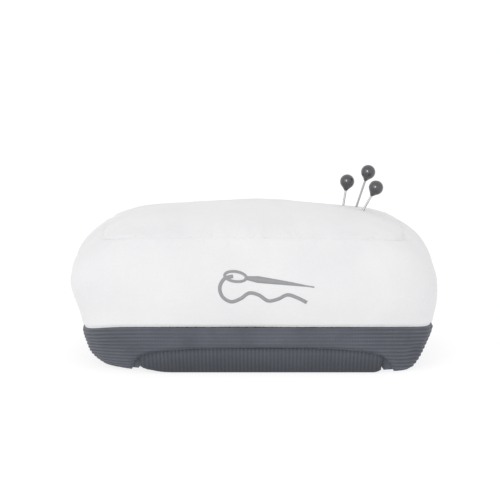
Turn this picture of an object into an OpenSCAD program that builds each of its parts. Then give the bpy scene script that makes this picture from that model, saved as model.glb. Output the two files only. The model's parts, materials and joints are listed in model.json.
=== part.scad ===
// Wrist pin cushion: a boxed, stuffed cushion of white cotton with a grey ribbed band round its lower edge.
// It stands on four soft corners. A wide ribbed elastic strap, sewn in at the front and the back, runs
// underneath and holds it on the wrist. Three ball-headed pins stand in its top.
// Millimetres, +Z up. The origin is on the table, under the middle of the cushion; the front faces -Y.

/* [Cushion] */
// Length, left to right
cushion_l = 105.2; // [95:0.1:120]
// Depth, front to back
cushion_w = 62; // [56:0.5:70]
// Height of the widest line above the table
widest_z = 25; // [22:0.5:28]
// Height of the seam between the lower band and the side band
mid_seam_z = 13.4; // [12:0.1:15]
// Height of the seam between the side band and the top panel
top_seam_z = 38.9; // [36:0.1:41]
// Rise of the domed top panel above its seam
dome_h = 4.2; // [2:0.1:6]
// How far the seams sink at the two ends
end_sink = 2.2; // [0:0.1:3]
// How square the plan is: 2 is an ellipse
plan_power = 6; // [4:0.5:8]

/* [Cover] */
// Thickness of the cover fabric with its lining
cover_t = 1; // [0.6:0.1:1.4]
// Gap between one piece of the cover and the next, or the filling
cover_gap = 0.3; // [0.2:0.05:0.5]
// Width of the groove at each seam
seam_w = 0.7; // [0.6:0.05:1]
// Diameter of the sewing thread
thread_d = 0.4; // [0.3:0.05:0.4]

/* [Underside] */
// Half length of the arch between the corners, at the front and the back
arch_half_l = 39.5; // [38:0.5:41]
// Half width of the arch between the corners, at the two ends
arch_half_w = 21; // [18:0.5:23]
// Height of the arches
arch_h = 7; // [6:0.1:8]

/* [Strap] */
// Width of the elastic
strap_w = 69; // [60:0.5:69]
// Thickness of the elastic
strap_t = 1.5; // [1.2:0.1:1.8]
// Distance of the strap's middle to the right of the cushion's middle
strap_x = 1.9; // [0:0.1:2]
// Distance from the middle of the cushion to the strap's outer face
strap_y = 29.3; // [28:0.1:29.5]
// Radius of the strap's two folds, outside
fold_r = 2.6; // [2:0.1:3]

/* [Guard plate] */
// Length of the plate that stops a pin point
plate_l = 74; // [60:1:78]
// Width of the plate
plate_w = 42; // [34:1:46]
// Thickness of the plate
plate_t = 1.2; // [1:0.1:1.4]

/* [Pins] */
// Diameter of the ball head
head_d = 4.3; // [3:0.1:4.5]
// Diameter of the steel shaft
shaft_d = 0.6; // [0.5:0.05:0.8]
// Length from the middle of the head to the point
pin_l = 36; // [34:0.5:38]
// Length of the tapered point
point_l = 2; // [1:0.1:3]
// Length of the head's neck, from the middle of the head
neck_l = 2.8; // [2.4:0.1:3.2]
// Clearance of a shaft in the fabric, on the radius
pin_clear = 0.06; // [0.02:0.01:0.1]

/* [Hidden] */

half_l = cushion_l / 2;
half_w = cushion_w / 2;
// Points round one ring of the cover
ring_n = 80;
// Sides of a thread's section
thread_n = 6;
// Share of its height at which each ring of the lower band and of the side band lies
lower_steps = [0, 0.08, 0.2, 0.4, 0.7, 1];
side_steps = [0, 0.06, 0.16, 0.28, 0.41, 0.54, 0.66, 0.77, 0.86, 0.94, 1];
// Share of the way from the middle to the edge at which each ring of a panel lies
panel_steps = [0.2, 0.4, 0.58, 0.73, 0.84, 0.91, 0.96, 1];
// The seams, as heights to the middle of the groove's edges
lower_top_z = mid_seam_z - seam_w / 2;
side_low_z = mid_seam_z + seam_w / 2;
side_top_z = top_seam_z - seam_w / 2;
panel_low_z = top_seam_z + seam_w / 2;
// Underside of the guard plate, just over the base panel's highest point
plate_z = arch_h * pow(2, 1 / 8) + cover_t + cover_gap;
// What stands in the top: where each pin goes in, how it leans to the right and to the back for each
// millimetre up, how far its head stands out, and how far it can still be pushed in
pin_entry = [[26.7, 14], [30.6, 14], [32.2, 6.4]];
pin_lean = [[0.165, 0.15], [0.324, -0.05], [0.574, 0.10]];
pin_out = [7.3, 11.2, 7.85];
pin_push = [3.2, 7.0, 4.8];

// A point of the plan's outline at angle t, with both half widths 1
function unit_plan(t) =
    let (c = cos(t), s = sin(t), k = pow(pow(abs(c), plan_power) + pow(abs(s), plan_power), 1 / plan_power))
    [c / k, s / k];
// How far the sides lean in below the widest line, at the ends
function low_lean(z) = 4 * pow(max(0, 1 - z / widest_z), 1.2) + 5 * pow(max(0, 1 - z / 9), 1.8);
// How far the sides lean in above the widest line, as a share of the lean at the top seam
function high_lean(z) = pow(max(0, z - widest_z) / (top_seam_z - widest_z), 2);
function half_length(z) = half_l - low_lean(z) - 6.4 * high_lean(z);
function half_depth(z) = half_w - 0.35 * low_lean(z) - 5 * high_lean(z);
// How far a ring at height z sinks at plan point u: not at all below the arches
function sink(z, u) = end_sink * max(0, min(1, (z - arch_h) / 5)) * pow(abs(u.x), 8);
// A point on the cushion's outside, moved in by the distance inset
function skin(z, t, inset) =
    let (u = unit_plan(t))
    [(half_length(z) - inset) * u.x, (half_depth(z) - inset) * u.y, z - sink(z, u)];

// One arch: its height at distance d from its middle
function arch(d, half) = abs(d) >= half ? 0 : arch_h * pow(1 - pow(abs(d) / half, 3), 1 / 3);
// Height of the cushion's underside over the table
function under(x, y) = pow(pow(arch(x, arch_half_l), 8) + pow(arch(y, arch_half_w), 8), 1 / 8);
// Height of the cover's lower edge at angle t
function edge_z(t) =
    let (u = unit_plan(t))
    under(half_length(3) * u.x, half_depth(3) * u.y);

// Height of the top panel's outside at share r of the way out to its edge, at plan point u
function dome(r, u) =
    panel_low_z - sink(top_seam_z, u) * pow(r, 8)
    + dome_h * (1 - pow(abs(r * u.x), 2)) * (1 - pow(abs(r * u.y), 3)) * (1 - pow(r, 16));
// The same height at a place in the plan
function top_z(x, y) =
    let (
        a = x / half_length(panel_low_z), b = y / half_depth(panel_low_z),
        r = pow(pow(abs(a), plan_power) + pow(abs(b), plan_power), 1 / plan_power)
    )
    dome(r, [a / r, b / r]);

// Angles of a ring's points, in the order that they turn
ring_angles = [for (i = [0:ring_n - 1]) i * 360 / ring_n];
// A ring at one height
function level_ring(z, inset) = [for (t = ring_angles) skin(z, t, inset)];
// A ring at share s of the way from the cover's lower edge, raised by lift, up to height top
function rising_ring(s, top, inset, lift) = [
    for (t = ring_angles)
        let (low = edge_z(t) + lift)
        skin(low + s * (top - low), t, inset)
];
// A ring of the top panel, a depth down below its outside
function top_ring(r, inset, down) = [
    for (t = ring_angles)
        let (u = unit_plan(t))
        [r * (half_length(panel_low_z) - inset) * u.x, r * (half_depth(panel_low_z) - inset) * u.y,
            dome(r, u) - down]
];
// A ring of the underside, a height lift above it
function under_ring(r, inset, lift) = [
    for (t = ring_angles)
        let (p = skin(edge_z(t) + lift, t, inset), x = r * p.x, y = r * p.y)
        [x, y, r == 1 ? edge_z(t) + lift : under(x, y) + lift]
];
function reversed(list) = [for (i = [len(list) - 1:-1:0]) list[i]];

// Two triangles between neighbouring points of rings a and b, all the way round
function ring_faces(a, b, n) = [
    for (j = [0:n - 1])
        let (k = (j + 1) % n)
        each [[a * n + j, b * n + j, b * n + k], [a * n + j, b * n + k, a * n + k]]
];
// A closed hoop: the rings run up the outside and down the inside
module hoop(rings) {
    m = len(rings);
    n = len(rings[0]);
    polyhedron([for (r = rings) each r], [for (i = [0:m - 1]) each ring_faces(i, (i + 1) % m, n)]);
}
// A closed lens: the rings run from the bottom's middle out to the edge and back to the top's middle
module lens(low_middle, rings, high_middle) {
    m = len(rings);
    n = len(rings[0]);
    points = concat([for (r = rings) each r], [low_middle, high_middle]);
    low_fan = [for (j = [0:n - 1]) [m * n, j, (j + 1) % n]];
    high_fan = [for (j = [0:n - 1]) [(m - 1) * n + j, m * n + 1, (m - 1) * n + (j + 1) % n]];
    polyhedron(points, concat(low_fan, [for (i = [0:m - 2]) each ring_faces(i, i + 1, n)], high_fan));
}
// A thread that follows a closed path
module thread_loop(path) {
    n = len(path);
    r = thread_d / 2;
    hoop([
        for (a = [0:thread_n - 1])
            [for (p = path)
                let (w = 360 * a / thread_n, q = norm([p.x, p.y]))
                p + r * [cos(w) * p.x / q, cos(w) * p.y / q, sin(w)]]
    ]);
}
// A thread that follows an open path along X, with a flat end at each side
module thread_run(path) {
    m = len(path);
    r = thread_d / 2;
    points = [
        for (p = path, a = [0:thread_n - 1])
            let (w = 360 * a / thread_n)
            p + r * [0, cos(w), sin(w)]
    ];
    first = [for (a = [0:thread_n - 1]) a];
    last = [for (a = [thread_n - 1:-1:0]) (m - 1) * thread_n + a];
    polyhedron(points, concat([first, last], [for (i = [0:m - 2]) each ring_faces(i, i + 1, thread_n)]));
}

// Moves to a pin's place: the origin goes to where it enters the fabric and +Z runs up its shaft
module at_pin(i) {
    lean = pin_lean[i];
    up = [lean.x, lean.y, 1] / norm([lean.x, lean.y, 1]);
    translate([pin_entry[i].x, pin_entry[i].y, top_z(pin_entry[i].x, pin_entry[i].y)])
        rotate([-asin(up.y), atan2(up.x, up.z), 0])
            children();
}
// The channels that the pins stand in, as deep as each can be pushed
module pin_channels() {
    for (i = [0:2]) {
        depth = pin_l - pin_out[i] + pin_push[i] + cover_gap;
        at_pin(i)
            translate([0, 0, -depth])
                cylinder(h = depth + 4, r = shaft_d / 2 + pin_clear, $fn = 24);
    }
}

// Domed white panel on top, thinner towards its seam
module top_panel() {
    color("whitesmoke")
        difference() {
            lens(
                [0, 0, dome(0, [1, 0]) - cover_t],
                concat(
                    [for (r = panel_steps) top_ring(r, 0, cover_t * min(1, 0.1 + 4 * (1 - r)))],
                    [for (r = reversed(panel_steps)) top_ring(r, 0, 0)]
                ),
                [0, 0, dome(0, [1, 0])]
            );
            pin_channels();
        }
}

// White band round the side
module side_band() {
    heights = [for (s = side_steps) side_low_z + s * (side_top_z - side_low_z)];
    color("white")
        hoop(concat(
            [for (z = heights) level_ring(z, 0)],
            [for (z = reversed(heights)) level_ring(z, cover_t)]
        ));
}

// Grey ribbed band with its four corners and four arches
module lower_band() {
    color("dimgray")
        hoop(concat(
            [for (s = lower_steps) rising_ring(s, lower_top_z, 0, 0)],
            [for (s = reversed(lower_steps)) rising_ring(s, lower_top_z, cover_t, 0)]
        ));
}

// Grey cover of the underside, vaulted between the four corners, with room for the seam's thread round it
module base_panel() {
    inset = cover_t + thread_d + cover_gap;
    color("slategray")
        lens(
            [0, 0, under(0, 0)],
            concat(
                [for (r = panel_steps) under_ring(r, inset, 0)],
                [for (r = reversed(panel_steps)) under_ring(r, inset, cover_t)]
            ),
            [0, 0, under(0, 0) + cover_t]
        );
}

// Stuffing, with the channels that the pins have made
module filling_core() {
    inset = cover_t + cover_gap;
    lift = 2 * cover_t + cover_gap;
    roof = cover_t + cover_gap;
    room = cover_gap;
    color("linen")
        difference() {
            lens(
                [0, 0, under(0, 0) + lift],
                concat(
                    [for (r = panel_steps) under_ring(r, inset, lift)],
                    [for (s = [0.15, 0.4, 0.7, 1]) rising_ring(s, mid_seam_z, inset, lift)],
                    [for (z = [widest_z, 32, panel_low_z - roof]) level_ring(z, inset)],
                    [for (r = [0.9, 0.75, 0.5, 0.25]) top_ring(r, inset, roof)]
                ),
                [0, 0, dome(0, [1, 0]) - roof]
            );
            translate([0, 0, plate_z - room])
                plate_shape(room, plate_t + 2 * room);
            pin_channels();
        }
}

// Rounded plate, made larger all round by grow
module plate_shape(grow, thickness) {
    linear_extrude(thickness)
        polygon([
            for (t = ring_angles)
                let (u = unit_plan(t))
                [(plate_l / 2 + grow) * u.x, (plate_w / 2 + grow) * u.y]
        ]);
}

// Plastic plate over the base panel that keeps a pin point from the wrist
module guard_plate() {
    color("gainsboro")
        translate([0, 0, plate_z])
            plate_shape(0, plate_t);
}

// One standing wall of the strap, cut along the top to the arch; side is -1 at the front, 1 at the back
module strap_wall(side) {
    low = fold_r + 0.1;
    left = strap_x - strap_w / 2;
    steps = 24;
    tops = [
        for (i = [0:steps])
            let (x = left + strap_w * i / steps)
            [x, arch(x, arch_half_l) - cover_gap / 2]
    ];
    color("dimgray")
        translate([0, side < 0 ? strap_t - strap_y : strap_y, 0])
            rotate([90, 0, 0])
                linear_extrude(strap_t)
                    polygon(concat([[left + strap_w, low], [left, low]], tops));
}
module strap_front() {
    strap_wall(-1);
}
module strap_rear() {
    strap_wall(1);
}

// The strap under the cushion, with the fold at its front and back
module strap_web() {
    inner_r = fold_r - strap_t;
    turn = [0:15:90];
    outer = [for (w = turn) [strap_y - fold_r + fold_r * cos(w), fold_r - fold_r * sin(w)]];
    inner = [for (w = turn) [strap_y - fold_r + inner_r * cos(w), fold_r - inner_r * sin(w)]];
    right = concat(reversed(inner), outer);
    color("dimgray")
        translate([strap_x - strap_w / 2, 0, 0])
            rotate([90, 0, 90])
                linear_extrude(strap_w)
                    polygon(concat(right, [for (p = reversed(right)) [-p.x, p.y]]));
}

// Threads in the three seams that run all the way round
module top_seam_thread() {
    color("gainsboro")
        thread_loop(level_ring(top_seam_z - 0.05, thread_d));
}
module middle_seam_thread() {
    color("gray")
        thread_loop(level_ring(mid_seam_z, thread_d));
}
module base_seam_thread() {
    inset = cover_t + (thread_d + cover_gap) / 2;
    color("gray")
        thread_loop([for (t = ring_angles) skin(edge_z(t) + thread_d, t, inset)]);
}

// Thread that holds one end of the strap in the arch's seam, inside the cushion
module strap_thread(side) {
    steps = 24;
    margin = 3;
    left = strap_x - strap_w / 2 + margin;
    seam_y = strap_y - strap_t + thread_d / 4;
    lift = cover_t + thread_d;
    path = [
        for (i = [0:steps])
            let (x = left + (strap_w - 2 * margin) * i / steps)
            [x, side * seam_y, arch(x, arch_half_l) + lift]
    ];
    color("gray")
        thread_run(path);
}
module strap_front_thread() {
    strap_thread(-1);
}
module strap_rear_thread() {
    strap_thread(1);
}

// Hand stitches across the left end's seam, where the filling went in
module closing_stitches() {
    stitch_l = 2.4;
    pitch = 2.6;
    color("gray")
        for (i = [-3:3]) {
            y = i * pitch;
            translate([-half_length(arch_h) + 0.1, y, under(half_length(3), y) - 0.75 * thread_d])
                rotate([0, 90, 0])
                    cylinder(h = stitch_l, d = thread_d, $fn = 24);
        }
}

// Steel shaft of a pin, with its tapered point
module pin_shaft(i) {
    straight = pin_l - point_l;
    color("silver")
        at_pin(i)
            translate([0, 0, pin_out[i] - pin_l]) {
                cylinder(h = point_l, r1 = 0.04, r2 = shaft_d / 2, $fn = 32);
                translate([0, 0, point_l])
                    cylinder(h = straight, d = shaft_d, $fn = 32);
            }
}

// Ball head of a pin, with its short neck and the blind hole for the shaft
module pin_head(i) {
    neck_d = 1.3;
    shoulder = 1.2;
    shoulder_r = sqrt(pow(head_d / 2, 2) - pow(shoulder, 2));
    hole_r = shaft_d / 2 + 0.01;
    color("#3f3f43")
        at_pin(i)
            translate([0, 0, pin_out[i]])
                difference() {
                    union() {
                        sphere(d = head_d, $fn = 48);
                        translate([0, 0, -neck_l])
                            cylinder(h = neck_l - shoulder, r1 = neck_d / 2, r2 = shoulder_r, $fn = 48);
                    }
                    translate([0, 0, -neck_l - 1])
                        cylinder(h = neck_l + 1.02, r = hole_r, $fn = 32);
                }
}

top_panel();
side_band();
lower_band();
base_panel();
filling_core();
guard_plate();
strap_front();
strap_web();
strap_rear();
top_seam_thread();
middle_seam_thread();
base_seam_thread();
strap_front_thread();
strap_rear_thread();
closing_stitches();
pin_shaft(0);  // pin_left_shaft
pin_head(0);  // pin_left_head
pin_shaft(1);  // pin_middle_shaft
pin_head(1);  // pin_middle_head
pin_shaft(2);  // pin_right_shaft
pin_head(2);  // pin_right_head
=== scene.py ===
"""Wrist pin cushion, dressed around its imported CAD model.

Shapes are worked out in millimetres with numpy and become metres when a mesh is made.
+X is to the right, -Y is the front and +Z is up.
"""

import json
import math

import bpy
import numpy as np
from mathutils import Matrix, Vector


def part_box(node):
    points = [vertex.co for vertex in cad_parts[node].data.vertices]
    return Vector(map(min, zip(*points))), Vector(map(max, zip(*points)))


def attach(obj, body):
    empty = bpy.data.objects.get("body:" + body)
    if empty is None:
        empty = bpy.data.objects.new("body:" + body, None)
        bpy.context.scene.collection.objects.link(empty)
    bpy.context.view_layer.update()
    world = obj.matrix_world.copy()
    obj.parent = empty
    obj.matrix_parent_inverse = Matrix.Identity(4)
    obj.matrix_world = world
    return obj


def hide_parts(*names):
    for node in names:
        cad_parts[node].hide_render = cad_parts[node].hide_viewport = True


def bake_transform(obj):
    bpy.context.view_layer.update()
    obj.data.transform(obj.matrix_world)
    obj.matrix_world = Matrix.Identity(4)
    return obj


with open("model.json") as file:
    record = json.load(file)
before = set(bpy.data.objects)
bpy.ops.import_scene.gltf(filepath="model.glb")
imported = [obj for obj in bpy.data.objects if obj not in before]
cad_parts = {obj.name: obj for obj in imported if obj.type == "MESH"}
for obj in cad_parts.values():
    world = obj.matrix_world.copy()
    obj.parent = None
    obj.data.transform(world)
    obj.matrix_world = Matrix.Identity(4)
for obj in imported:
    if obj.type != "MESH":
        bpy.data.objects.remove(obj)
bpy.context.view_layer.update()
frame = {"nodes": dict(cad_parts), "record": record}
scene = bpy.context.scene
MM = 0.001


def box_mm(node):
    low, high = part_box(node)
    return np.array(low) / MM, np.array(high) / MM


# ---------------------------------------------------------------- sizes, from the frame
side_high = box_mm("side_band")[1]
HALF_L, HALF_W = side_high[0] + 0.5, side_high[1]
THREAD_D, STITCH_L, STITCH_PITCH, STITCH_INSET = 0.4, 0.9, 2.4, 0.95
SEAM_W = 0.7
MID_Z = box_mm("lower_band")[1][2] + SEAM_W / 2
TOP_Z = side_high[2] + SEAM_W / 2
DOME_H = box_mm("top_panel")[1][2] - TOP_Z - SEAM_W / 2
strap_low, strap_high = box_mm("strap_web")
STRAP_W = strap_high[0] - strap_low[0]
STRAP_X = (strap_high[0] + strap_low[0]) / 2
STRAP_Y = strap_high[1]
STRAP_T = 1.5
ARCH_X, ARCH_L, ARCH_W, ARCH_H = 2.3, 38.4, 22.0, 7.2
EDGE_LEVEL = 3.0
PLAN_POWER = 6.0
COVER_T = 0.7
RIB_PITCH = 1.08
RIB_START = 0.3
HEAD_R = (box_mm("pin_middle_head")[1][1] - box_mm("pin_middle_head")[0][1]) / 2
PIN_NAMES = ("pin_left", "pin_middle", "pin_right")

# The two ends of a stuffed cushion aren't alike: each pair is (left end, right end)
END_OUT = (0.6, 0.0)
END_SINK = (2.2, 1.4)
WIDEST_Z = (27.0, 22.0)
LOW_LEAN = (4.0, 1.4)
LOW_REACH = (12.0, 9.0)
FOOT_TAPER = (2.3, 4.7)
FOOT_ROUND = (4.4, 0.9)
FOOT_H = (5.0, 4.0)
FOOT_TURN = (0.24, -0.10)
HIGH_LEAN = (9.5, 9.2)
HIGH_POWER = (1.9, 3.5)

# The middles of the lobes' inner edges, and the depth and width of the grooves that seams pull in the cloth
LOBE_EDGE = (-33.2, 37.0)
MID_GROOVE, TOP_GROOVE, TUCK_GROOVE, HEM_ROLL = (0.5, 0.6), (0.32, 0.7), (1.1, 1.6), (0.5, 0.8)


# ---------------------------------------------------------------- the cushion's surface
def smooth(x):
    x = np.clip(x, 0, 1)
    return x * x * (3 - 2 * x)


def by_end(pair, ux):
    return pair[0] + (pair[1] - pair[0]) * smooth((ux + 0.8) / 1.6)


def plan(t):
    """The plan's outline at angle t, with both half widths 1."""
    c, s = np.cos(t), np.sin(t)
    k = (np.abs(c) ** PLAN_POWER + np.abs(s) ** PLAN_POWER) ** (1 / PLAN_POWER)
    return c / k, s / k


def low_share(z, ux):
    return smooth((by_end(WIDEST_Z, ux) - z) / by_end(LOW_REACH, ux))


def foot_inward(z, ux):
    taper = by_end(FOOT_TAPER, ux) * np.clip(1 - z / 12, 0, 1) ** 1.3
    return taper + by_end(FOOT_ROUND, ux) * np.clip(1 - z / by_end(FOOT_H, ux), 0, 1) ** 2


def high_share(z, ux):
    widest = by_end(WIDEST_Z, ux)
    return np.clip((z - widest) / (TOP_Z - widest), 0, 1.2) ** by_end(HIGH_POWER, ux)


def half_length(z, ux):
    inward = by_end(LOW_LEAN, ux) * low_share(z, ux) + foot_inward(z, ux) * ux**4
    return HALF_L + by_end(END_OUT, ux) - inward - by_end(HIGH_LEAN, ux) * high_share(z, ux)


def half_depth(z, ux):
    return HALF_W - 1.6 * low_share(z, ux) - 1.8 * np.clip(1 - z / 9, 0, 1) ** 2 - 5.0 * high_share(z, ux)


def sink(z, ux, r=1.0):
    """How far the seams dip round the ends, and the top toward the right."""
    tilt = 0.8 * np.clip(r * ux, 0, 1) ** 2 * smooth((z - 22) / 16)
    return by_end(END_SINK, ux) * np.clip((z - ARCH_H) / 5, 0, 1) * (r * np.abs(ux)) ** 8 + tilt


def skin(t, z, inset=0.0):
    ux, uy = plan(t)
    x = (half_length(z, ux) - inset) * ux
    turn = by_end(FOOT_TURN, ux) * np.clip(1 - z / 12, 0, 1) ** 1.5 * ux**4
    y = (half_depth(z, ux) - inset) * uy * (1 - turn)
    return np.stack([x, y, z - sink(z, ux)], axis=-1)


def arch(d, half):
    """Height of an arch at distance d from its middle, with soft feet."""
    away = np.clip(half - np.abs(d), 0, None)
    round_top = ARCH_H * np.clip(1 - (1 - away / half) ** 3, 0, 1) ** (1 / 3)
    slope = 1.5 * away
    return round_top * slope / np.maximum((round_top**5 + slope**5) ** 0.2, 1e-9)


def under(x, y):
    """Height of the underside over the table."""
    return (arch(x - ARCH_X, ARCH_L) ** 8 + arch(y, ARCH_W) ** 8) ** (1 / 8)


def edge_z(t):
    ux, uy = plan(t)
    return under(half_length(EDGE_LEVEL, ux) * ux, half_depth(EDGE_LEVEL, ux) * uy)


def dome(r, ux, uy):
    """Height of the top at share r of the way out, where the plan's outline is (ux, uy)."""
    crown = (1 - (r * ux) ** 2) * (1 - np.abs(r * uy) ** 3) * (1 - r**16)
    return TOP_Z - sink(TOP_Z, ux, r) + DOME_H * crown * (1 - 0.16 * r * ux)


# ---------------------------------------------------------------- noise
def waves(seed, count, short, long):
    """A smooth random field over space, about -1 to 1, from sine waves of these lengths in mm."""
    rng = np.random.default_rng(seed)
    direction = rng.normal(size=(count, 3))
    direction /= np.linalg.norm(direction, axis=1)[:, None]
    length = rng.uniform(short, long, count)
    phase = rng.uniform(0, 2 * np.pi, count)

    def field(p):
        total = 0
        for d, l, f in zip(direction, length, phase):
            total = total + np.sin(2 * np.pi * (p @ d) / l + f)
        return total / math.sqrt(count)

    return field


soft_hollows = waves(11, 9, 26, 60)
small_hollows = waves(12, 10, 9, 18)


def puckers(seed):
    """Small gathers along a seam: a function of the distance along it and away from it, in mm."""
    rng = np.random.default_rng(seed)
    length = rng.uniform(3.2, 11, 9)
    phase = rng.uniform(0, 2 * np.pi, 9)
    slant = rng.uniform(-0.5, 0.5, 9)

    def field(along, away):
        total = 0
        for l, f, k in zip(length, phase, slant):
            total = total + np.sin(2 * np.pi * (along + k * away) / l + f)
        return total / 3 * np.exp(-away / 4.2) * np.clip(away / 1.2, 0, 1)

    return field


# ---------------------------------------------------------------- meshes
def unit(v):
    return v / np.maximum(np.linalg.norm(v, axis=-1, keepdims=True), 1e-12)


def normals(p, wrap):
    """Normals of a grid of points p[row, column], where a wrapped grid closes along its columns."""
    if wrap:
        q = np.concatenate([p[:, -1:], p, p[:, :1]], axis=1)
        across = (q[:, 2:] - q[:, :-2]) / 2
    else:
        across = np.gradient(p, axis=1)
    return unit(np.cross(across, np.gradient(p, axis=0)))


def steps_along(p, axis):
    """Distance travelled along a grid's rows or columns, from 0."""
    gap = np.linalg.norm(np.diff(p, axis=axis), axis=-1)
    return np.concatenate([np.zeros_like(np.take(gap, [0], axis)), np.cumsum(gap, axis=axis)], axis=axis)


def build(name, points, faces, uv=None):
    """A smooth-shaded mesh object. uv gives each face corner's place on the cloth, in mm."""
    mesh = bpy.data.meshes.new(name)
    mesh.from_pydata((np.asarray(points).reshape(-1, 3) * MM).tolist(), [], np.asarray(faces).tolist())
    if uv is not None:
        layer = mesh.uv_layers.new(name="cloth")
        layer.data.foreach_set("uv", np.asarray(uv, dtype=float).reshape(-1))
    mesh.validate()
    mesh.shade_smooth()
    obj = bpy.data.objects.new(name, mesh)
    scene.collection.objects.link(obj)
    return obj


def hoop(name, p, uv, wrap=True):
    """A closed body from p[along, section]: every section is a closed loop, mirrored about its middle if
    the ends need caps. uv[along + 1, section + 1] gives the cloth's coordinates."""
    count, size = p.shape[:2]
    last = count if wrap else count - 1
    i, j = np.meshgrid(np.arange(last), np.arange(size), indexing="ij")
    i2, j2 = (i + 1) % count, (j + 1) % size
    faces = np.stack([i * size + j, i2 * size + j, i2 * size + j2, i * size + j2], axis=-1).reshape(-1, 4)
    corners = np.stack([uv[i, j], uv[i + 1, j], uv[i + 1, j + 1], uv[i, j + 1]], axis=-2).reshape(-1, 2)
    if not wrap:
        half = size // 2
        k = np.arange(half - 1)
        cap = np.stack([k, k + 1, size - 2 - k, size - 1 - k], axis=-1)
        faces = np.concatenate([faces, cap, (cap + (count - 1) * size)[:, ::-1]])
        corners = np.concatenate([corners, np.zeros((8 * len(cap), 2))])
    return build(name, p, faces, corners)


def slab(name, top, bottom, uv):
    """A closed body between two grids of points with the same edges."""
    rows, cols = top.shape[:2]
    n = rows * cols
    i, j = np.meshgrid(np.arange(rows - 1), np.arange(cols - 1), indexing="ij")
    a = i * cols + j
    upper = np.stack([a, a + 1, a + cols + 1, a + cols], axis=-1).reshape(-1, 4)
    lower = upper[:, ::-1] + n
    border = np.concatenate([
        np.arange(cols),
        np.arange(2, rows + 1) * cols - 1,
        (rows - 1) * cols + np.arange(cols - 2, -1, -1),
        np.arange(rows - 2, 0, -1) * cols,
    ])
    ahead = np.roll(border, -1)
    edge = np.stack([ahead, border, border + n, ahead + n], axis=-1)
    faces = np.concatenate([upper, lower, edge])
    flat = np.concatenate([uv.reshape(-1, 2)] * 2)
    return build(name, np.concatenate([top.reshape(-1, 3), bottom.reshape(-1, 3)]), faces, flat[faces])


def cloth_uv(along, across, wrap):
    """Cloth coordinates for a hoop: distance along it by row, and distance across by row and point."""
    along = np.append(along, 2 * along[-1] - along[-2]) if wrap else along
    across = np.concatenate([across, across[:1]]) if wrap else across
    across = np.concatenate([across, across[:, :1]], axis=1)
    return np.stack([np.broadcast_to(along[:, None], across.shape), across], axis=-1)


def square_plan(rows, cols):
    """A grid over the plan with no pole: share out from the middle, and the outline's angle there."""
    bend = np.pi / 2 * 0.8
    a = np.sin(np.linspace(-1, 1, cols) * bend) / np.sin(bend)
    b = np.sin(np.linspace(-1, 1, rows) * bend) / np.sin(bend)
    b, a = np.meshgrid(b, a, indexing="ij")
    return np.maximum(np.maximum(np.abs(a), np.abs(b)), 1e-9), np.arctan2(b, a)


def rim(grid):
    """A grid's edge points in order of their angle, from the front left corner round to it."""
    return np.concatenate([grid[0, :-1], grid[:-1, -1], grid[-1, :0:-1], grid[:0:-1, 0]])


# ---------------------------------------------------------------- swelling, by cloth simulation
LOW_ROWS, SIDE_ROWS = 8, 14
TOP_GRID = (28, 44)
CAGE_SCALE = 10.0
SLACK = {"lower": 0.5, "side": 0.9, "top": 0.9}
MOVE_CAP = 1.6
FIRST_CORNER = -3 * np.pi / 4


def panel_points(panel, share, t):
    """Points of a panel at these shares of the way up it, or in from the rim on the top."""
    ux, uy = plan(t)
    if panel == "top":
        r = 1 - share
        x = r * half_length(TOP_Z, ux) * ux
        y = r * half_depth(TOP_Z, ux) * uy
        return np.stack([x, y, dome(r, ux, uy)], axis=-1)
    low, high = (edge_z(t), MID_Z) if panel == "lower" else (MID_Z, TOP_Z)
    return skin(t, low + share * (high - low))


def blown_up(points, faces, held):
    """Where a closed cage's points go under pressure, in mm, when the points in held stay still."""
    mesh = bpy.data.meshes.new("cage")
    mesh.from_pydata((points * MM * CAGE_SCALE).tolist(), [], faces)
    cage = bpy.data.objects.new("cage", mesh)
    scene.collection.objects.link(cage)
    cage.vertex_groups.new(name="seams").add(held, 1.0, "REPLACE")
    cloth = cage.modifiers.new("cloth", "CLOTH").settings
    cloth.quality = 7
    cloth.mass = 0.4
    cloth.tension_stiffness = cloth.compression_stiffness = 14
    cloth.shear_stiffness = 8
    cloth.bending_stiffness = 0.6
    cloth.vertex_group_mass = "seams"
    cloth.use_pressure = True
    cloth.uniform_pressure_force = 4.0
    cloth.shrink_min = -0.015
    cloth.effector_weights.gravity = 0
    for step in range(1, 21):
        scene.frame_set(step)
    blown = cage.evaluated_get(bpy.context.evaluated_depsgraph_get())
    place = np.empty(len(points) * 3)
    blown.data.vertices.foreach_get("co", place)
    bpy.data.objects.remove(cage)
    scene.frame_set(1)
    return place.reshape(-1, 3) / MM / CAGE_SCALE


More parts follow.
